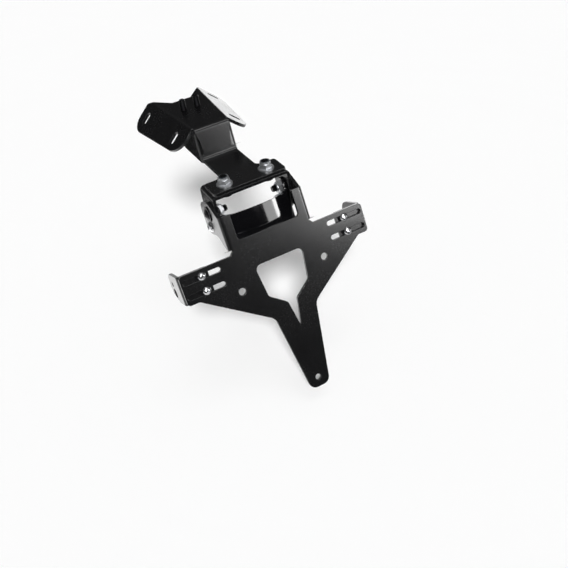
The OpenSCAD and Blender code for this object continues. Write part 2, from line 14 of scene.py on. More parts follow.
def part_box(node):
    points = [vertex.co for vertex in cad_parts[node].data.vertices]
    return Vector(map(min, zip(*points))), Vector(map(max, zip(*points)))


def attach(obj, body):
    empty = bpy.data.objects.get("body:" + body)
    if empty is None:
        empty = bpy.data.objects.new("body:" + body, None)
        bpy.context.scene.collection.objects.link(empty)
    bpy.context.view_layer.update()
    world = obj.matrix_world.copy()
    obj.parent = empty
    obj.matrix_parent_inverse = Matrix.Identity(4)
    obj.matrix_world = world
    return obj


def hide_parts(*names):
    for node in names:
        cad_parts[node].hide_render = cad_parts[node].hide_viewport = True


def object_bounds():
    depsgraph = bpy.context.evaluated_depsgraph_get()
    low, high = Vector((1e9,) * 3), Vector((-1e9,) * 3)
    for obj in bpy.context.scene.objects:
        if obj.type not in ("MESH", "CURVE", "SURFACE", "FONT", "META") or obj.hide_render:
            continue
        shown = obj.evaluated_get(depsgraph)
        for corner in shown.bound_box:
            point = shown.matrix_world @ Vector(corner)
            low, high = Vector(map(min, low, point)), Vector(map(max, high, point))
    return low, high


bl_info = {
    "name": "Tail tidy dressing",
    "version": (1, 0, 0),
    "blender": (4, 5, 0),
    "location": "View3D > Sidebar > Tail tidy",
    "description": "Finishes the packed tail tidy and sets up its studio",
    "category": "Object",
}

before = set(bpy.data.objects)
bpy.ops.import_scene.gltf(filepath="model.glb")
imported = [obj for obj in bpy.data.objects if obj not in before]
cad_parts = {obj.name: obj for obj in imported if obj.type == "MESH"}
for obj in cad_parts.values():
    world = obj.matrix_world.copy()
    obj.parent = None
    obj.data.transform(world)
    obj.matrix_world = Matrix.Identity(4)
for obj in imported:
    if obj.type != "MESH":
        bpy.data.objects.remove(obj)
CAD_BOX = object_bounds()
MM = 0.001

# The base plate leans back by this much, and its front face looks this way
PLATE_TILT = math.radians(22)
PLATE_OUT = Vector((0, -math.cos(PLATE_TILT), math.sin(PLATE_TILT)))

# Where the camera stands, and which way the photograph's right and top edges point from there
CAMERA_PLACE = Vector((-0.1981, -0.6413, 0.2751))
PICTURE_RIGHT = Vector((0.8732, -0.4672, -0.1387))
PICTURE_UP = Vector((0.3827, 0.4809, 0.7888))
CAMERA_LENS = 46.9

# The upper panel's power for each watt of the panel's, and the right reflector's for each of the left one's
UPPER_PANEL_PART = 0.24
RIGHT_REFLECTOR_PART = 2.6

# The steel sheets' thickness, and that of a wing with an indicator bracket behind it
SHEET = 3 * MM
WING_STACK = 2 * SHEET

# How far the floor lies below the object at rest, because the largest tilt of the plate lowers its tip
FLOOR_ROOM = 16 * MM

# Heights of the heads, the chamfered point of a thread, and how far a thread runs into its head
HEXAGON_HEAD = 4 * MM
BUTTON_HEAD = 3.3 * MM
THREAD_POINT = 0.6 * MM
THREAD_OVERLAP = 0.1 * MM

# A thread's depth for each metre of its pitch
THREAD_DEPTH = 0.56

# The bore of an M6 nut, the rounding of its edges, and how deep below its top the nylon insert starts
BOLT_BORE = 6.1 * MM
NUT_EASE = 0.12 * MM
INSERT_DEPTH = 1.27 * MM

# An M6 nut's or bolt's flange, and the rounding of the button heads' and small nuts' edges
FLANGE_WIDTH = 14.2 * MM
FLANGE_THICKNESS = 1.2 * MM
SMALL_EASE = 0.1 * MM

# Faces that meet at less than this angle shade as one
SMOOTH_DEGREES = 50

# A hexagon's corner radius and chamfered top radius for each metre across its flats
HEX_CORNER = 0.5774
HEX_TOP = 0.475

# The same for a lock nut's collar, the collar's rim and the top of the cone on its flange
COLLAR_SIDE = 0.46
COLLAR_RIM = 0.4
CONE_TOP = 0.47

# How far a 30 degree chamfer runs out for each metre down, and the least radius that counts as a flange
CHAMFER_RUN = 1.732
LEAST_FLANGE = 1 * MM
NO_FLANGE = {"Flange_Diameter": 0.0, "Flange_Height": 0.0}


def linear(code):
    """An sRGB hex colour as Blender's linear RGBA."""
    parts = [int(code[i : i + 2], 16) / 255 for i in (1, 3, 5)]
    return [c / 12.92 if c <= 0.04045 else ((c + 0.055) / 1.055) ** 2.4 for c in parts] + [1.0]


def shaded(colour, times):
    """The colour made darker, or lighter where times is above 1."""
    return [c * times for c in colour[:3]] + [1.0]


def add(tree, kind, inputs=None, **settings):
    """Adds a node with its settings. An input given as a socket is linked, and any other value is set."""
    made = tree.nodes.new(kind)
    for name, value in settings.items():
        setattr(made, name, value)
    for key, value in (inputs or {}).items():
        if isinstance(value, bpy.types.NodeSocket):
            tree.links.new(value, made.inputs[key])
        else:
            made.inputs[key].default_value = value
    return made


def math_of(tree, operation, *values):
    """What a Math node makes of two or three values."""
    return add(tree, "ShaderNodeMath", dict(enumerate(values)), operation=operation).outputs["Value"]


def sum_of(tree, a, b, times=1.0):
    """a + b * times, for a size that follows from others."""
    return math_of(tree, "MULTIPLY_ADD", b, times, a)


def half(tree, size):
    """Half of a size, such as the radius of a diameter."""
    return sum_of(tree, 0.0, size, 0.5)


# Materials


def per_metre(size_mm):
    """The Scale of a pattern whose features are size_mm across, on Object coordinates in metres."""
    return 1000 / size_mm


def new_material(name):
    """A material with its Principled shader linked to the output, and the Object coordinates."""
    material = bpy.data.materials.new(name)
    material.use_nodes = True
    tree = material.node_tree
    tree.nodes.clear()
    shader = add(tree, "ShaderNodeBsdfPrincipled")
    add(tree, "ShaderNodeOutputMaterial", {"Surface": shader.outputs["BSDF"]})
    where = add(tree, "ShaderNodeTexCoord").outputs["Object"]
    return material, tree, shader, where


def set_shader(shader, **values):
    for name, value in values.items():
        shader.inputs[name.replace("_", " ")].default_value = value


def noise(tree, where, size_mm, detail=2.0, roughness=0.5):
    """Noise with features of size_mm."""
    inputs = {"Vector": where, "Scale": per_metre(size_mm), "Detail": detail, "Roughness": roughness}
    return add(tree, "ShaderNodeTexNoise", inputs).outputs["Fac"]


def ramp(tree, factor, stops):
    """A Color Ramp over factor, with stops of (position, colour)."""
    made = add(tree, "ShaderNodeValToRGB", {"Fac": factor})
    points = made.color_ramp.elements
    while len(points) < len(stops):
        points.new(0.5)
    for point, (position, colour) in zip(points, stops):
        point.position = position
        point.color = colour
    return made.outputs["Color"]


def mapped(tree, value, to_min, to_max, from_min=0.0, from_max=1.0):
    """The value taken from one range to another."""
    inputs = {"Value": value, "From Min": from_min, "From Max": from_max, "To Min": to_min, "To Max": to_max}
    return add(tree, "ShaderNodeMapRange", inputs).outputs["Result"]


def bumped(tree, shader, height, depth, strength):
    """Gives the shader a bump from height, depth metres deep."""
    bump = add(tree, "ShaderNodeBump", {"Height": height, "Distance": depth, "Strength": strength})
    tree.links.new(bump.outputs["Normal"], shader.inputs["Normal"])


def powder_coat(colour, roughness, grain_mm, name="satin_black_powder_coat"):
    # Satin black polyester powder on steel. Its orange peel breaks a reflection into a soft, faintly grainy
    # sheen, and its gloss drifts a little over a few centimetres. The peel is drawn coarser than its real
    # 0.5 mm, so that it shows.
    material, tree, shader, where = new_material(name)
    drift = noise(tree, where, 38)
    peel = noise(tree, where, grain_mm, 3.0, 0.6)
    dust = add(tree, "ShaderNodeTexVoronoi", {"Vector": where, "Scale": per_metre(grain_mm * 2.4)})
    tints = {"Factor": drift, "A": shaded(colour, 0.86), "B": shaded(colour, 1.18)}
    tint = add(tree, "ShaderNodeMix", tints, data_type="RGBA")
    tree.links.new(tint.outputs["Result"], shader.inputs["Base Color"])
    gloss = mapped(tree, drift, roughness - 0.04, roughness + 0.05)
    speck = mapped(tree, dust.outputs["Distance"], 0.02, -0.03)
    tree.links.new(math_of(tree, "ADD", gloss, speck), shader.inputs["Roughness"])
    bumped(tree, shader, peel, 0.06 * MM, 0.5)
    set_shader(shader, IOR=1.5, Metallic=0.0)
    return material


def gloss_plastic(colour):
    # Moulded gloss black acrylic sheet: a near mirror that bends what it reflects by a faint waviness, with a
    # few fine scuffs
    material, tree, shader, where = new_material("gloss_black_acrylic")
    wave = noise(tree, where, 22, 1.0)
    scuff = noise(tree, where, 1.6, 4.0, 0.7)
    shade = ramp(tree, wave, [(0.3, shaded(colour, 0.8)), (0.7, colour)])
    tree.links.new(shade, shader.inputs["Base Color"])
    tree.links.new(mapped(tree, scuff, 0.05, 0.13, 0.3, 0.75), shader.inputs["Roughness"])
    bumped(tree, shader, wave, 0.3 * MM, 0.2)
    set_shader(shader, IOR=1.49)
    return material


def plated_metal(name, bright, dull, roughness, grain_mm, turned=0.0):
    """Plated or plain metal with a cloudy tone, a fine grain and, where turned is above 0, lathe marks."""
    material, tree, shader, where = new_material(name)
    cloud = noise(tree, where, 3.5, 3.0)
    height = noise(tree, where, grain_mm)
    tree.links.new(ramp(tree, cloud, [(0.3, dull), (0.7, bright)]), shader.inputs["Base Color"])
    tree.links.new(mapped(tree, cloud, roughness + 0.07, roughness - 0.05), shader.inputs["Roughness"])
    if turned > 0:
        marks = add(
            tree,
            "ShaderNodeTexWave",
            {"Vector": where, "Scale": per_metre(1.2), "Distortion": 1.5, "Detail": 1.0},
            wave_type="BANDS",
            bands_direction="DIAGONAL",
        )
        height = math_of(tree, "MULTIPLY_ADD", marks.outputs["Fac"], turned, height)
    bumped(tree, shader, height, 0.02 * MM, 0.4)
    set_shader(shader, Metallic=1.0)
    return material


def nylon_ring_plastic(colour):
    # The lock nut's dyed nylon insert: matt, slightly waxy
    material, tree, shader, where = new_material("dyed_nylon")
    mottle = noise(tree, where, 1.2)
    shade = ramp(tree, mottle, [(0.3, shaded(colour, 0.8)), (0.7, colour)])
    tree.links.new(shade, shader.inputs["Base Color"])
    bumped(tree, shader, mottle, 0.03 * MM, 0.4)
    set_shader(shader, IOR=1.53, Roughness=0.5)
    return material


# Meshes


def shade_by_area(mesh, smooth_deg):
    """Normals weighted by face area across edges under smooth_deg.

    Flat faces shade flat, and only folds and eased edges turn."""
    limit = math.cos(math.radians(smooth_deg))
    faces = [(polygon.normal.copy(), polygon.area) for polygon in mesh.polygons]
    around = [[] for _ in mesh.vertices]
    for polygon in mesh.polygons:
        polygon.use_smooth = True
        for vertex in polygon.vertices:
            around[vertex].append(polygon.index)
    normals = [None] * len(mesh.loops)
    for polygon in mesh.polygons:
        own = faces[polygon.index][0]
        for loop in polygon.loop_indices:
            total = Vector((0, 0, 0))
            for other in around[mesh.loops[loop].vertex_index]:
                normal, area = faces[other]
                if own.dot(normal) > limit:
                    total += normal * area
            normals[loop] = total.normalized() if total.length > 0 else own
    mesh.normals_split_custom_set(normals)


def finish_piece(obj, body, replaced=()):
    """Smooths the piece, rides it on its body and hides the CAD parts that it replaces."""
    shade_by_area(obj.data, SMOOTH_DEGREES)
    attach(obj, body)
    if replaced:
        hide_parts(*replaced)


def ease_edges(obj, width, angle_deg, clamp):
    """Rounds the edges that turn by more than angle_deg, and returns the modifier."""
    ease = obj.modifiers.new("eased edges", "BEVEL")
    ease.width = width
    ease.segments = 2
    ease.limit_method = "ANGLE"
    ease.angle_limit = math.radians(angle_deg)
    ease.use_clamp_overlap = clamp
    return ease


def applied(obj, name):
    """The evaluated object as a plain mesh object at the origin; obj is removed."""
    bpy.context.view_layer.update()
    graph = bpy.context.evaluated_depsgraph_get()
    evaluated = obj.evaluated_get(graph)
    mesh = bpy.data.meshes.new_from_object(evaluated, preserve_all_data_layers=True, depsgraph=graph)
    bpy.data.objects.remove(obj)
    mesh.name = name
    made = bpy.data.objects.new(name, mesh)
    bpy.context.scene.collection.objects.link(made)
    return made


def eased_sheet(node, name, edge, coat, worn):
    """A copy of a CAD sheet with its sharp edges rounded by edge metres, in the material worn."""
    bm = bmesh.new()
    bm.from_mesh(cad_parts[node].data)
    bmesh.ops.remove_doubles(bm, verts=bm.verts, dist=0.03 * MM)
    bmesh.ops.dissolve_degenerate(bm, edges=bm.edges, dist=0.01 * MM)
    bmesh.ops.dissolve_limit(bm, verts=bm.verts, edges=bm.edges, angle_limit=math.radians(0.8))
    mesh = bpy.data.meshes.new(name)
    bm.to_mesh(mesh)
    bm.free()
    mesh.materials.append(coat)
    mesh.materials.append(worn)
    obj = bpy.data.objects.new(name, mesh)
    bpy.context.scene.collection.objects.link(obj)
    ease_edges(obj, edge, 35, False).material = 1
    return applied(obj, name)


# Fasteners, drawn by Geometry Nodes along +Z from the face that they bear on


def new_tree(name, sizes):
    """A Geometry Nodes tree with a Geometry and a Material input and named sizes.

    It comes back with its input and output nodes."""
    tree = bpy.data.node_groups.new(name, "GeometryNodeTree")
    tree.is_modifier = True
    tree.interface.new_socket("Geometry", in_out="INPUT", socket_type="NodeSocketGeometry")
    tree.interface.new_socket("Geometry", in_out="OUTPUT", socket_type="NodeSocketGeometry")
    for size, value in sizes.items():
        made = tree.interface.new_socket(size, in_out="INPUT", socket_type="NodeSocketFloat")
        made.subtype = "DISTANCE"
        made.default_value = value
    tree.interface.new_socket("Material", in_out="INPUT", socket_type="NodeSocketMaterial")
    return tree, add(tree, "NodeGroupInput"), add(tree, "NodeGroupOutput")


def raised(tree, geometry, height):
    """Lifts geometry by height along Z."""
    up = add(tree, "ShaderNodeCombineXYZ", {"Z": height}).outputs["Vector"]
    return add(tree, "GeometryNodeTransform", {"Geometry": geometry, "Translation": up}).outputs["Geometry"]


def disc_stack(tree, parts, vertices=48):
    """Joined cones, each given as (radius below, radius above, height, height of its foot)."""
    joined = add(tree, "GeometryNodeJoinGeometry")
    for low, high, height, foot in parts:
        cone = add(
            tree,
            "GeometryNodeMeshCone",
            {"Vertices": vertices, "Radius Bottom": low, "Radius Top": high, "Depth": height},
            fill_type="NGON",
        )
        tree.links.new(raised(tree, cone.outputs["Mesh"], foot), joined.inputs["Geometry"])
    return joined.outputs["Geometry"]


def cut(tree, whole, tool, operation="DIFFERENCE"):
    """The exact Boolean of two meshes."""
    made = add(tree, "GeometryNodeMeshBoolean", operation=operation, solver="EXACT")
    if operation == "DIFFERENCE":
        tree.links.new(whole, made.inputs[0])
        tree.links.new(tool, made.inputs[1])
    else:
        tree.links.new(tool, made.inputs[1])
        tree.links.new(whole, made.inputs[1])
    return made.outputs["Mesh"]


def bore_of(tree, diameter):
    """A cylinder to cut a hole with, longer than any nut or ring."""
    radius = half(tree, diameter)
    return disc_stack(tree, [(radius, radius, 30 * MM, -10 * MM)])


def hexagon(tree, flats, height, foot=0.0):
    """A hexagonal prism from foot up to height, with its top corners chamfered."""
    corner = sum_of(tree, 0.0, flats, HEX_CORNER)
    prism = disc_stack(tree, [(corner, corner, sum_of(tree, height, foot, -1.0), foot)], 6)
    top = sum_of(tree, 0.0, flats, HEX_TOP)
    chamfer = disc_stack(tree, [(sum_of(tree, top, height, CHAMFER_RUN), top, height, 0.0)])
    return cut(tree, prism, chamfer, "INTERSECT")


def is_flange(tree, radius):
    """Whether a flange of this radius is drawn at all."""
    inputs = {"A": radius, "B": LEAST_FLANGE}
    compared = add(tree, "FunctionNodeCompare", inputs, data_type="FLOAT", operation="GREATER_THAN")
    return compared.outputs["Result"]


def either(tree, switch, plain, flanged):
    """The flanged shape where switch is true, or else the plain one."""
    inputs = {"Switch": switch, "False": plain, "True": flanged}
    return add(tree, "GeometryNodeSwitch", inputs, input_type="GEOMETRY").outputs["Output"]


def seat_value(tree, name, kind):
    """A value that each seat carries."""
    return add(tree, "GeometryNodeInputNamedAttribute", {"Name": name}, data_type=kind).outputs["Attribute"]


def place_on_seats(tree, group_in, group_out, shape):
    """Puts shape on each seat, turned along the seat's axis, and ends the tree as the export needs."""
    axis = seat_value(tree, "axis", "FLOAT_VECTOR")
    turn = seat_value(tree, "turn", "FLOAT")
    aimed = add(tree, "FunctionNodeAlignRotationToVector", {"Vector": axis}, axis="Z")
    spin = add(tree, "FunctionNodeAxisAngleToRotation", {"Axis": (0, 0, 1), "Angle": turn})
    turned = add(
        tree,
        "FunctionNodeRotateRotation",
        {"Rotation": aimed.outputs["Rotation"], "Rotate By": spin.outputs["Rotation"]},
        rotation_space="LOCAL",
    )
    placed = add(
        tree,
        "GeometryNodeInstanceOnPoints",
        {"Points": group_in.outputs["Geometry"], "Instance": shape, "Rotation": turned.outputs["Rotation"]},
    )
    real = add(tree, "GeometryNodeRealizeInstances", {"Geometry": placed.outputs["Instances"]})
    painted = add(
        tree,
        "GeometryNodeSetMaterial",
        {"Geometry": real.outputs["Geometry"], "Material": group_in.outputs["Material"]},
    )
    tree.links.new(painted.outputs["Geometry"], group_out.inputs["Geometry"])
    return tree


def thread_tree():
    """A threaded shank from the seat along +Z: a core, a helical ridge and a chamfered point."""
    tree, sizes, out = new_tree(
        "threaded_shank", {"Diameter": 6 * MM, "Length": 15 * MM, "Pitch": 1 * MM, "Point": THREAD_POINT}
    )
    length, pitch, point = (sizes.outputs[k] for k in ("Length", "Pitch", "Point"))
    radius = half(tree, sizes.outputs["Diameter"])
    core = sum_of(tree, radius, pitch, -THREAD_DEPTH)
    tip = sum_of(tree, radius, point, -1.0)
    solid = disc_stack(tree, [(core, core, length, 0.0), (core, tip, point, length)])
    ridge_r = half(tree, pitch)
    middle = sum_of(tree, radius, ridge_r, -1.0)
    helix = add(
        tree,
        "GeometryNodeCurveSpiral",
        {
            "Resolution": 22,
            "Rotations": math_of(tree, "DIVIDE", length, pitch),
            "Start Radius": middle,
            "End Radius": middle,
            "Height": length,
        },
    )
    upright = add(tree, "GeometryNodeSetCurveNormal", {"Curve": helix.outputs["Curve"]}, mode="Z_UP")
    ridge = add(tree, "GeometryNodeCurvePrimitiveCircle", {"Resolution": 4, "Radius": ridge_r}, mode="RADIUS")
    swept = add(
        tree,
        "GeometryNodeCurveToMesh",
        {"Curve": upright.outputs["Curve"], "Profile Curve": ridge.outputs["Curve"], "Fill Caps": True},
    )
    both = add(tree, "GeometryNodeJoinGeometry")
    tree.links.new(solid, both.inputs["Geometry"])
    tree.links.new(swept.outputs["Mesh"], both.inputs["Geometry"])
    return place_on_seats(tree, sizes, out, both.outputs["Geometry"])


def nut_tree():
    """A lock nut: a chamfered hexagon with a turned collar and a bore, on a flange where it has one."""
    tree, sizes, out = new_tree(
        "lock_nut",
        {
            "Across Flats": 10 * MM,
            "Height": 8 * MM,
            "Collar": 2 * MM,
            "Bore": 6 * MM,
            "Flange Diameter": FLANGE_WIDTH,
            "Flange Height": FLANGE_THICKNESS,
        },
    )
    flats, height, collar = (sizes.outputs[k] for k in ("Across Flats", "Height", "Collar"))
    body = sum_of(tree, height, collar, -1.0)
    skirt_r = half(tree, sizes.outputs["Flange Diameter"])
    skirt_h = sizes.outputs["Flange Height"]
    flanged = is_flange(tree, skirt_r)
    # Inside a flange the hexagon starts higher, because the exact union can drop it where both feet are level
    lift, rounding = 0.4 * MM, 0.5 * MM
    prism = hexagon(tree, flats, body, sum_of(tree, 0.0, flanged, lift))
    collar_r = sum_of(tree, 0.0, flats, COLLAR_SIDE)
    rim_r = sum_of(tree, 0.0, flats, COLLAR_RIM)
    wall = (collar_r, collar_r, collar, sum_of(tree, body, -rounding))
    rim = (collar_r, rim_r, rounding, sum_of(tree, height, -rounding))
    plain_nut = cut(tree, prism, disc_stack(tree, [wall, rim]), "UNION")
    disc = disc_stack(tree, [(skirt_r, skirt_r, skirt_h, 0.0)])
    cone_low = sum_of(tree, skirt_r, -0.3 * MM)
    cone_high = sum_of(tree, 0.0, flats, CONE_TOP)
    cone_h, overlap = 1.2 * MM, 0.05 * MM
    cone = disc_stack(tree, [(cone_low, cone_high, cone_h, sum_of(tree, skirt_h, -overlap))])
    flange_nut = cut(tree, plain_nut, cut(tree, disc, cone, "UNION"), "UNION")
    chosen = either(tree, flanged, plain_nut, flange_nut)
    return place_on_seats(tree, sizes, out, cut(tree, chosen, bore_of(tree, sizes.outputs["Bore"])))


def ring_tree():
    """A flat ring, for a lock nut's insert and a stud's pressed-in shank."""
    tree, sizes, out = new_tree(
        "nylon_ring", {"Outside": 8 * MM, "Inside": 5.6 * MM, "Foot": 6 * MM, "Height": 1.6 * MM}
    )
    outer = half(tree, sizes.outputs["Outside"])
    ring = disc_stack(tree, [(outer, outer, sizes.outputs["Height"], sizes.outputs["Foot"])])
    return place_on_seats(tree, sizes, out, cut(tree, ring, bore_of(tree, sizes.outputs["Inside"])))


def button_tree():
    """A button head with a hexagon socket, on a flange where it has one."""
    tree, sizes, out = new_tree(
        "button_head",
        {
            "Head Diameter": 10.6 * MM,
            "Head Height": BUTTON_HEAD,
            "Socket": 4 * MM,
            "Socket Depth": 2 * MM,
            "Flange Diameter": FLANGE_WIDTH,
            "Flange Height": FLANGE_THICKNESS,
        },
    )
    radius = half(tree, sizes.outputs["Head Diameter"])
    height, foot = sizes.outputs["Head Height"], sizes.outputs["Flange Height"]
    # The dome is cut from the ball that passes through the head's rim and its top
    dome_h = sum_of(tree, height, foot, -1.0)
    squares = math_of(tree, "MULTIPLY_ADD", dome_h, dome_h, math_of(tree, "MULTIPLY", radius, radius))
    ball_r = math_of(tree, "DIVIDE", squares, sum_of(tree, 0.0, dome_h, 2.0))
    ball = add(tree, "GeometryNodeMeshUVSphere", {"Segments": 48, "Rings": 64, "Radius": ball_r})
    ball = raised(tree, ball.outputs["Mesh"], sum_of(tree, height, ball_r, -1.0))
    post_r = sum_of(tree, radius, 1 * MM)
    dome = cut(tree, ball, disc_stack(tree, [(post_r, post_r, height, foot)]), "INTERSECT")
    flange_r = half(tree, sizes.outputs["Flange Diameter"])
    flange = disc_stack(tree, [(flange_r, flange_r, sum_of(tree, foot, 0.01 * MM), 0.0)])
    chosen = either(tree, is_flange(tree, flange_r), dome, cut(tree, dome, flange, "UNION"))
    corner = sum_of(tree, 0.0, sizes.outputs["Socket"], HEX_CORNER)
    socket_foot = sum_of(tree, height, sizes.outputs["Socket Depth"], -1.0)
    socket = disc_stack(tree, [(corner, corner, 20 * MM, socket_foot)], 6)
    return place_on_seats(tree, sizes, out, cut(tree, chosen, socket))


def hex_head_tree():
    """A plain chamfered hexagon head."""
    tree, sizes, out = new_tree("hexagon_head", {"Across Flats": 10 * MM, "Height": HEXAGON_HEAD})
    head = hexagon(tree, sizes.outputs["Across Flats"], sizes.outputs["Height"])
    return place_on_seats(tree, sizes, out, head)


def grown(name, tree, seats, material, ease=0.0, **sizes):
    """The plain mesh that a tree grows on seats of (place, axis, turn), with its edges eased."""
    mesh = bpy.data.meshes.new(name)
    mesh.from_pydata([tuple(place) for place, axis, turn in seats], [], [])
    axes = mesh.attributes.new("axis", "FLOAT_VECTOR", "POINT")
    axes.data.foreach_set("vector", [c for place, axis, turn in seats for c in axis])
    turns = mesh.attributes.new("turn", "FLOAT", "POINT")
    turns.data.foreach_set("value", [turn for place, axis, turn in seats])
    obj = bpy.data.objects.new(name, mesh)
    bpy.context.scene.collection.objects.link(obj)
    modifier = obj.modifiers.new(name, "NODES")
    modifier.node_group = tree
    given = {key.replace("_", " "): value for key, value in sizes.items()}
    for item in tree.interface.items_tree:
        if item.item_type == "SOCKET" and item.in_out == "INPUT":
            if item.name == "Material":
                modifier[item.identifier] = material
            elif item.name in given:
                modifier[item.identifier] = given.pop(item.name)
    if given:
        raise ValueError(f"{tree.name} has no size named {sorted(given)}")
    if ease > 0:
        ease_edges(obj, ease, 28, True)
    return applied(obj, name)


# Sizes and colours that a user would change

COLOUR = {"subtype": "COLOR", "size": 4, "min": 0, "max": 1}
LENGTH = {"unit": "LENGTH", "precision": 5}


class CoatSettings(bpy.types.PropertyGroup):
    colour: bpy.props.FloatVectorProperty(
        name="Coat colour", description="Colour of the powder coat", default=linear("#0d0d0e"), **COLOUR
    )
    edge_colour: bpy.props.FloatVectorProperty(
        name="Edge colour",
        description="Colour of the coat where it is thin, on the sheet's edges",
        default=linear("#1a1b1c"),
        **COLOUR,
    )
    roughness: bpy.props.FloatProperty(
        name="Roughness",
        description="Roughness of the powder coat",
        default=0.25,
        min=0.1,
        max=0.9,
        subtype="FACTOR",
    )
    grain: bpy.props.FloatProperty(
        name="Orange peel",
        description="Size of the coat's orange peel in millimetres",
        default=0.9,
        min=0.2,
        max=4,
    )
    edge: bpy.props.FloatProperty(
        name="Edge radius",
        description="Rounding of the sheet's edges",
        default=0.35 * MM,
        min=0.05 * MM,
        max=0.8 * MM,
        **LENGTH,
    )


class GuardSettings(bpy.types.PropertyGroup):
    colour: bpy.props.FloatVectorProperty(
        name="Guard colour",
        description="Colour of the gloss spray guard",
        default=linear("#0b0b0d"),
        **COLOUR,
    )
    edge: bpy.props.FloatProperty(
        name="Edge radius",
        description="Rounding of the guard's edges",
        default=0.3 * MM,
        min=0.05 * MM,
        max=0.6 * MM,
        **LENGTH,
    )


class FastenerSettings(bpy.types.PropertyGroup):
    zinc: bpy.props.FloatVectorProperty(
        name="Zinc colour", description="Colour of the plated nuts", default=linear("#d3d5d8"), **COLOUR
    )
    black: bpy.props.FloatVectorProperty(
        name="Black colour",
        description="Colour of the blackened studs, top bolts and pivot bolts",
        default=linear("#242426"),
        **COLOUR,
    )
    nylon: bpy.props.FloatVectorProperty(
        name="Insert colour",
        description="Colour of the lock nuts' inserts",
        default=linear("#20262c"),
        **COLOUR,
    )
    bolt_pitch: bpy.props.FloatProperty(
        name="Bolt pitch",
        description="Thread pitch of the bolts and studs",
        default=1 * MM,
        min=0.5 * MM,
        max=1.5 * MM,
        **LENGTH,
    )
    screw_pitch: bpy.props.FloatProperty(
        name="Screw pitch",
        description="Thread pitch of the wing screws",
        default=0.7 * MM,
        min=0.4 * MM,
        max=1 * MM,
        **LENGTH,
    )


class StudioSettings(bpy.types.PropertyGroup):
    paper: bpy.props.FloatVectorProperty(
        name="Floor colour", description="Colour of the paper floor", default=linear("#fdfdfd"), **COLOUR
    )
    key: bpy.props.FloatProperty(
        name="Key light",
        description="Strength of the light that casts the shadow",
        default=3.05,
        min=0,
        max=20,
    )
    fill: bpy.props.FloatProperty(
        name="Fill light", description="Strength of the shadowless fill", default=0.85, min=0, max=20
    )
    panel: bpy.props.FloatProperty(
        name="Panel",
        description="Power of the soft panel at the front right, in watts",
        default=1.9,
        min=0,
        max=200,
    )
    strip: bpy.props.FloatProperty(
        name="Strip light",
        description="Power of the strip light beside the panel, in watts",
        default=1.1,
        min=0,
        max=200,
    )
    reflector: bpy.props.FloatProperty(
        name="Reflectors",
        description="Power of the low reflectors beside and behind the object, in watts",
        default=0.23,
        min=0,
        max=200,
    )


# Operators


def metals(settings):
    """The fasteners' materials, made once."""
    made = bpy.data.materials.get
    zinc, black = settings.zinc, settings.black
    return {
        # Bright zinc: a cool, slightly cloudy plating with soft glints
        "zinc_plated_steel": made("bright_zinc_plate")
        or plated_metal("bright_zinc_plate", zinc, shaded(zinc, 0.75), 0.4, 0.4),
        # Black oxide: dark and oily, with a dull glint
        "black_steel": made("black_oxide_steel")
        or plated_metal("black_oxide_steel", black, shaded(black, 0.6), 0.36, 0.4),
        # Plain stainless steel: bright, with the marks of the lathe
        "stainless_steel": made("turned_stainless_steel")
        or plated_metal("turned_stainless_steel", linear("#dcdcdd"), linear("#b4b5b8"), 0.22, 0.4, 0.4),
        "nylon": made("dyed_nylon") or nylon_ring_plastic(settings.nylon),
    }


def tree_named(name, make):
    return bpy.data.node_groups.get(name) or make()


def seat_of(node, axis, turn):
    """A seat at the end of a CAD fastener that faces away from axis, on its own centre line."""
    low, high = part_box(node)
    middle = (low + high) / 2
    reach = abs((high - low).dot(Vector(map(abs, axis)))) / 2
    return middle - Vector(axis) * reach, Vector(axis), turn


def span(node, axis):
    """The length of a CAD node along an axis, given as 0, 1 or 2."""
    low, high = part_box(node)
    return high[axis] - low[axis]


class TAILTIDY_OT_sheets(bpy.types.Operator):
    """Round the folded sheets' edges and give them their powder coat"""

    bl_idname = "tailtidy.sheets"
    bl_label = "Coated sheets"

    def execute(self, context):
        coat = context.scene.tailtidy_coat
        face = powder_coat(coat.colour, coat.roughness, coat.grain)
        worn = powder_coat(coat.edge_colour, coat.roughness - 0.05, coat.grain, "burnished_powder_coat_edge")
        for node, body in (
            ("upper_bracket", "hanger"),
            ("hanger_bracket", "hanger"),
            ("base_plate", "plate"),
            ("left_indicator_bracket", "left_indicator"),
            ("right_indicator_bracket", "right_indicator"),
        ):
            piece = eased_sheet(node, node + "_coated", coat.edge, face, worn)
            finish_piece(piece, body, [node])
        return {"FINISHED"}


class TAILTIDY_OT_guard(bpy.types.Operator):
    """Polish the bowed spray guard between the hanger's arms"""

    bl_idname = "tailtidy.guard"
    bl_label = "Spray guard"

    def execute(self, context):
        guard = context.scene.tailtidy_guard
        plastic = gloss_plastic(guard.colour)
        piece = eased_sheet("spray_guard", "spray_guard_polished", guard.edge, plastic, plastic)
        finish_piece(piece, "hanger", ["spray_guard"])
        return {"FINISHED"}


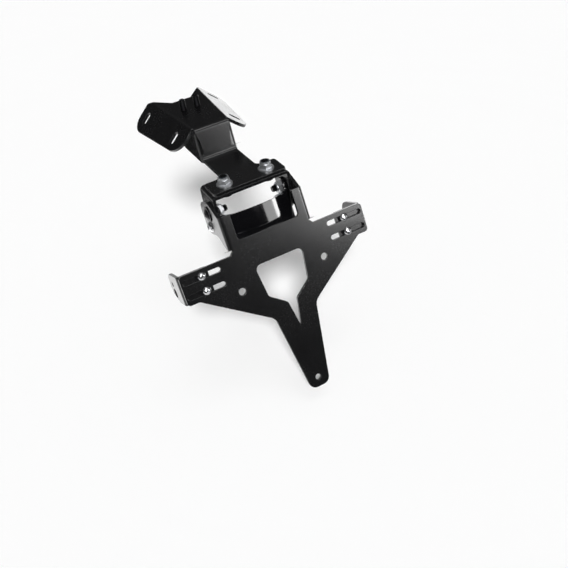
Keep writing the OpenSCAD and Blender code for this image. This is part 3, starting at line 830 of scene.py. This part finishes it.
class TAILTIDY_OT_bolts(bpy.types.Operator):
    """Dress the hanger's bolts, lock nuts and studs"""

    bl_idname = "tailtidy.bolts"
    bl_label = "Bolts, nuts and studs"

    def execute(self, context):
        settings = context.scene.tailtidy_fasteners
        paint = metals(settings)
        thread = tree_named("threaded_shank", thread_tree)
        nut = tree_named("lock_nut", nut_tree)
        ring = tree_named("nylon_ring", ring_tree)
        button = tree_named("button_head", button_tree)
        head = tree_named("hexagon_head", hex_head_tree)
        pitch, black = settings.bolt_pitch, paint["black_steel"]
        up, down = Vector((0, 0, 1)), Vector((0, 0, -1))
        upwards = {"left": up, "right": up}
        inwards = {"left": Vector((1, 0, 0)), "right": Vector((-1, 0, 0))}
        spin = {"left": 0.35, "right": 0.12}

        def seats_of(node, axes):
            return [seat_of(f"{side}_{node}", axis, spin[side]) for side, axis in axes.items()]

        def ride(piece, node=""):
            """Rides the piece on the hanger; node names the fastener on each side that it stands for."""
            finish_piece(piece, "hanger", [f"{side}_{node}" for side in spin] if node else ())

        def lock_nuts(node, axes, height, **sizes):
            """A lock nut on each side, and its nylon insert."""
            seats = seats_of(node, axes)
            zinc = paint["zinc_plated_steel"]
            nuts = grown(node + "s", nut, seats, zinc, NUT_EASE, Height=height, Bore=BOLT_BORE, **sizes)
            ride(nuts, node)
            foot = height - INSERT_DEPTH
            insert = {"Outside": 7 * MM, "Inside": 5.9 * MM, "Foot": foot, "Height": 1.3 * MM}
            ride(grown(node + "_inserts", ring, seats, paint["nylon"], **insert))

        # Flanged lock nuts on top of the strap's head, with the bolts' threads in them
        lock_nuts("top_nut", upwards, 8 * MM)
        ends = seats_of("top_bolt", upwards)
        heads = [(place + up * HEXAGON_HEAD, down, turn) for place, axis, turn in ends]
        ride(grown("top_bolt_heads", head, heads, black, NUT_EASE), "top_bolt")
        start = HEXAGON_HEAD - THREAD_OVERLAP
        shanks = [(place + up * start, up, turn) for place, axis, turn in ends]
        length = span("left_top_bolt", 2) - start - THREAD_POINT
        ride(grown("top_bolt_threads", thread, shanks, black, Length=length, Pitch=pitch))

        # Side bolts through the base plate's flanges, the hanger's arms and the guard's tabs
        pivot_head = {"Socket_Depth": 1.3 * MM}
        clamp_head = {"Socket_Depth": 1.98 * MM, **NO_FLANGE}
        pivot_nut = {"height": 6 * MM, "Collar": 1.5 * MM, "Flange_Diameter": 0.0}
        clamp_nut = {"height": 8 * MM}
        for bolt, nut_node, slot, head_sizes, nut_sizes in (
            ("pivot_bolt", "pivot_nut", "black_steel", pivot_head, pivot_nut),
            ("clamp_bolt", "clamp_nut", "stainless_steel", clamp_head, clamp_nut),
        ):
            ends = seats_of(bolt, inwards)
            faces = [(place + axis * BUTTON_HEAD, -axis, turn) for place, axis, turn in ends]
            ride(grown(bolt + "_heads", button, faces, paint[slot], SMALL_EASE, **head_sizes), bolt)
            start = BUTTON_HEAD - THREAD_OVERLAP
            shanks = [(place + axis * start, axis, turn) for place, axis, turn in ends]
            length = span("left_" + bolt, 0) - start - THREAD_POINT
            ride(grown(bolt + "_threads", thread, shanks, paint[slot], Length=length, Pitch=pitch))
            lock_nuts(nut_node, inwards, **nut_sizes)

        # Studs: a thread above the saddle, a shank pressed into it and a flat head below
        feet = []
        for side in spin:
            low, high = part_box(f"{side}_stud")
            middle = (low + high) / 2
            feet.append((Vector((middle.x, middle.y, -SHEET)), up, spin[side]))
        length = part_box("left_stud")[1].z + SHEET - THREAD_POINT
        ride(grown("stud_threads", thread, feet, black, Length=length, Pitch=pitch), "stud")
        # The shank is 2.4 mm narrower than the head, which is the stud's widest part
        width = span("left_stud", 0) - 2.4 * MM
        shank = {"Outside": width, "Inside": 5 * MM, "Foot": 0.0, "Height": SHEET}
        ride(grown("stud_shanks", ring, feet, black, **shank))
        soles = [(place, down, turn) for place, axis, turn in feet]
        flat = {"Head_Diameter": 9 * MM, "Head_Height": 1.2 * MM, **NO_FLANGE}
        dimple = {"Socket": 2 * MM, "Socket_Depth": 0.5 * MM}
        ride(grown("stud_heads", button, soles, black, SMALL_EASE, **flat, **dimple))
        return {"FINISHED"}


class TAILTIDY_OT_wing_screws(bpy.types.Operator):
    """Dress the screws and lock nuts that hold the indicator brackets"""

    bl_idname = "tailtidy.wing_screws"
    bl_label = "Wing screws"

    def execute(self, context):
        settings = context.scene.tailtidy_fasteners
        paint = metals(settings)
        thread = tree_named("threaded_shank", thread_tree)
        nut = tree_named("lock_nut", nut_tree)
        ring = tree_named("nylon_ring", ring_tree)
        button = tree_named("button_head", button_tree)
        steel, zinc, nylon = paint["stainless_steel"], paint["zinc_plated_steel"], paint["nylon"]
        dome = {"Head_Diameter": 7.6 * MM, "Head_Height": 2.2 * MM, **NO_FLANGE}
        socket = {"Socket": 2.5 * MM, "Socket_Depth": 1.3 * MM}
        shank = {"Diameter": 4 * MM, "Length": 11.1 * MM, "Pitch": settings.screw_pitch, "Point": 0.5 * MM}
        body = {"Across_Flats": 7 * MM, "Height": 5 * MM, "Collar": 1.25 * MM, "Flange_Diameter": 0.0}
        insert = {"Outside": 4.8 * MM, "Inside": 3.9 * MM, "Foot": 4.03 * MM, "Height": 1 * MM}
        for side in ("left", "right"):
            seats = []
            for row, turn in (("upper", 0.2), ("lower", 0.45)):
                low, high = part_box(f"{side}_{row}_nut")
                middle = (low + high) / 2
                # A seat is on the plate's front face, and a nut begins behind both sheets
                depth = WING_STACK + body["Height"] / 2
                seats.append((middle + PLATE_OUT * depth, PLATE_OUT, turn))
            behind = [(place - axis * WING_STACK, -axis, turn) for place, axis, turn in seats]
            tops = [(place + axis * THREAD_OVERLAP, -axis, turn) for place, axis, turn in seats]
            for piece, slot, replaced in (
                (
                    grown(f"{side}_wing_screw_heads", button, seats, steel, 0.08 * MM, **dome, **socket),
                    "stainless_steel",
                    [f"{side}_upper_screw", f"{side}_lower_screw"],
                ),
                (grown(f"{side}_wing_screw_threads", thread, tops, steel, **shank), "stainless_steel", ()),
                (
                    grown(f"{side}_wing_nuts", nut, behind, zinc, SMALL_EASE, Bore=4.1 * MM, **body),
                    "zinc_plated_steel",
                    [f"{side}_upper_nut", f"{side}_lower_nut"],
                ),
                (grown(f"{side}_wing_nut_inserts", ring, behind, nylon, **insert), "black_steel", ()),
            ):
                finish_piece(piece, f"{side}_indicator", replaced)
        return {"FINISHED"}


def area_light(name, place, aim, width, height, power):
    """A soft panel of width by height metres that faces aim."""
    data = bpy.data.lights.new(name, "AREA")
    data.shape = "RECTANGLE"
    data.size = width
    data.size_y = height
    data.energy = power
    lamp = bpy.data.objects.new(name, data)
    lamp.location = place
    lamp.rotation_euler = (Vector(aim) - Vector(place)).to_track_quat("-Z", "Y").to_euler()
    bpy.context.scene.collection.objects.link(lamp)
    return lamp


def sun_light(name, towards, strength, angle_deg):
    """A sun whose light comes from the direction towards, as soft as a panel that many degrees wide."""
    data = bpy.data.lights.new(name, "SUN")
    data.energy = strength
    data.angle = math.radians(angle_deg)
    lamp = bpy.data.objects.new(name, data)
    lamp.rotation_euler = Vector(towards).to_track_quat("Z", "Y").to_euler()
    bpy.context.scene.collection.objects.link(lamp)
    return lamp


def flat_object(name, low, high, material):
    """A level or upright rectangle along X between two opposite corners."""
    mesh = bpy.data.meshes.new(name)
    corners = [low, (high[0], low[1], low[2]), high, (low[0], high[1], high[2])]
    mesh.from_pydata(corners, [], [(0, 1, 2, 3)])
    mesh.materials.append(material)
    made = bpy.data.objects.new(name, mesh)
    bpy.context.scene.collection.objects.link(made)
    return made


def matt_paper(colour):
    # Matt white paper with a fine tooth, and no gloss
    material, tree, shader, where = new_material("matt_white_paper")
    bumped(tree, shader, noise(tree, where, 0.8), 0.05 * MM, 0.2)
    set_shader(shader, Base_Color=colour, Roughness=0.9, Specular_IOR_Level=0.0)
    return material


def black_velvet():
    # Black velvet with a faint nap, which gives back next to no light
    material, tree, shader, where = new_material("black_velvet")
    nap = ramp(tree, noise(tree, where, 2.0), [(0.3, linear("#060606")), (0.7, linear("#0c0c0c"))])
    tree.links.new(nap, shader.inputs["Base Color"])
    set_shader(shader, Roughness=1.0, Specular_IOR_Level=0.0)
    return material


class TAILTIDY_OT_studio(bpy.types.Operator):
    """Set the camera, a plain pale floor and soft studio light"""

    bl_idname = "tailtidy.studio"
    bl_label = "Studio"

    def execute(self, context):
        scene = context.scene
        studio = scene.tailtidy_studio

        data = bpy.data.cameras.new("camera")
        data.sensor_width = 36
        data.lens = CAMERA_LENS
        data.clip_start, data.clip_end = 0.05, 60
        camera = bpy.data.objects.new("camera", data)
        right = PICTURE_RIGHT.normalized()
        up = (PICTURE_UP - right * PICTURE_UP.dot(right)).normalized()
        turn = Matrix((right, up, right.cross(up))).transposed().to_4x4()
        camera.matrix_world = Matrix.Translation(CAMERA_PLACE) @ turn
        scene.collection.objects.link(camera)
        scene.camera = camera

        # Paper floor just below the lowest place that the tail's tip swings to
        low = CAD_BOX[0].z - FLOOR_ROOM
        floor = flat_object("floor", (-12, -12, low), (12, 12, low), matt_paper(studio.paper))

        # Black cards that only reflections see, as a photographer sets them to keep a dark surface dark: one
        # stands in front and two lie before the object. The one behind it is painted shadow: a dark floor
        # that the web under the saddle reflects, in place of the shadow that falls there
        cloth = black_velvet()
        front, level = -0.8, low + 1 * MM
        for name, start, end in (
            ("front_flag", (-1.2, front, level), (1.2, front, 1.0)),
            ("right_table_flag", (0.0, front, level), (1.2, -0.24, level)),
            ("left_table_flag", (-1.2, front, level), (0.0, -0.42, level)),
            ("rear_table_flag", (-0.4, 0.2, level), (0.02, 0.5, level)),
        ):
            card = flat_object(name, start, end, cloth)
            card.visible_camera = card.visible_diffuse = card.visible_shadow = False

        # Pale at the horizon, where the floor's paper would roll up, dark above it, and grey overhead
        world = bpy.data.worlds.new("studio")
        world.use_nodes = True
        tree = world.node_tree
        tree.nodes.clear()
        direction = add(tree, "ShaderNodeTexCoord").outputs["Generated"]
        height = add(tree, "ShaderNodeSeparateXYZ", {"Vector": direction}).outputs["Z"]
        tones = (
            (0.0, "#d8d8d8"),
            (0.05, "#8c8c8c"),
            (0.14, "#2c2c2c"),
            (0.42, "#242424"),
            (0.58, "#7c7c7c"),
            (0.8, "#6a6a6a"),
        )
        sky = ramp(tree, height, [(place, linear(code)) for place, code in tones])
        background = add(tree, "ShaderNodeBackground", {"Color": sky, "Strength": 1.0})
        add(tree, "ShaderNodeOutputWorld", {"Surface": background.outputs["Background"]})
        scene.world = world

        # The key light casts the soft shadow, the fill lifts it, and the panels give the black coat its
        # reflections
        key = sun_light("key", (-0.27, -0.73, 0.627), studio.key, 10)
        fill = sun_light("fill", (0.1, -0.3, 0.95), studio.fill, 30)
        fill.data.use_shadow = False
        lamps = [key, fill]
        upper_power = studio.panel * UPPER_PANEL_PART
        right_power = studio.reflector * RIGHT_REFLECTOR_PART
        for panel in (
            ("panel", (0.36, -0.6, 0.14), (0.36, -0.1, 0.14), 0.27, 0.32, studio.panel),
            ("upper_panel", (0.22, -0.62, 0.18), (0.1, -0.1, 0.0), 0.2, 0.22, upper_power),
            ("strip", (0.418, -0.58, 0.03), (0.017, -0.13, -0.06), 0.085, 0.24, studio.strip),
            ("left_reflector", (-0.17, 0.06, low + 2 * MM), (-0.17, 0.06, 1.0), 0.26, 0.26, studio.reflector),
            ("right_reflector", (0.42, 0.47, -0.13), (0.03, 0.0, -0.01), 0.5, 0.3, right_power),
        ):
            lamps.append(area_light(*panel))
        for lamp in lamps:
            lamp.visible_camera = False
            lamp.visible_diffuse = lamp.data.type == "SUN"
        scene.view_settings.view_transform = "Standard"
        return {"FINISHED"}


class TAILTIDY_PT_panel(bpy.types.Panel):
    bl_idname = "TAILTIDY_PT_panel"
    bl_label = "Tail tidy"
    bl_space_type = "VIEW_3D"
    bl_region_type = "UI"
    bl_category = "Tail tidy"

    def draw(self, context):
        for group in (
            context.scene.tailtidy_coat,
            context.scene.tailtidy_guard,
            context.scene.tailtidy_fasteners,
            context.scene.tailtidy_studio,
        ):
            box = self.layout.box()
            for name in group.bl_rna.properties.keys():
                if name not in ("rna_type", "name"):
                    box.prop(group, name)
        for operator in OPERATORS:
            self.layout.operator(operator.bl_idname)


GROUPS = {
    "tailtidy_coat": CoatSettings,
    "tailtidy_guard": GuardSettings,
    "tailtidy_fasteners": FastenerSettings,
    "tailtidy_studio": StudioSettings,
}
OPERATORS = (
    TAILTIDY_OT_sheets,
    TAILTIDY_OT_guard,
    TAILTIDY_OT_bolts,
    TAILTIDY_OT_wing_screws,
    TAILTIDY_OT_studio,
)


def register():
    for cls in (*GROUPS.values(), *OPERATORS, TAILTIDY_PT_panel):
        bpy.utils.register_class(cls)
    for name, group in GROUPS.items():
        setattr(bpy.types.Scene, name, bpy.props.PointerProperty(type=group))


def unregister():
    for name in GROUPS:
        delattr(bpy.types.Scene, name)
    for cls in reversed((*GROUPS.values(), *OPERATORS, TAILTIDY_PT_panel)):
        bpy.utils.unregister_class(cls)


def main():
    register()
    bpy.ops.tailtidy.sheets()
    bpy.ops.tailtidy.guard()
    bpy.ops.tailtidy.bolts()
    bpy.ops.tailtidy.wing_screws()
    bpy.ops.tailtidy.studio()


if __name__ == "__main__":
    main()
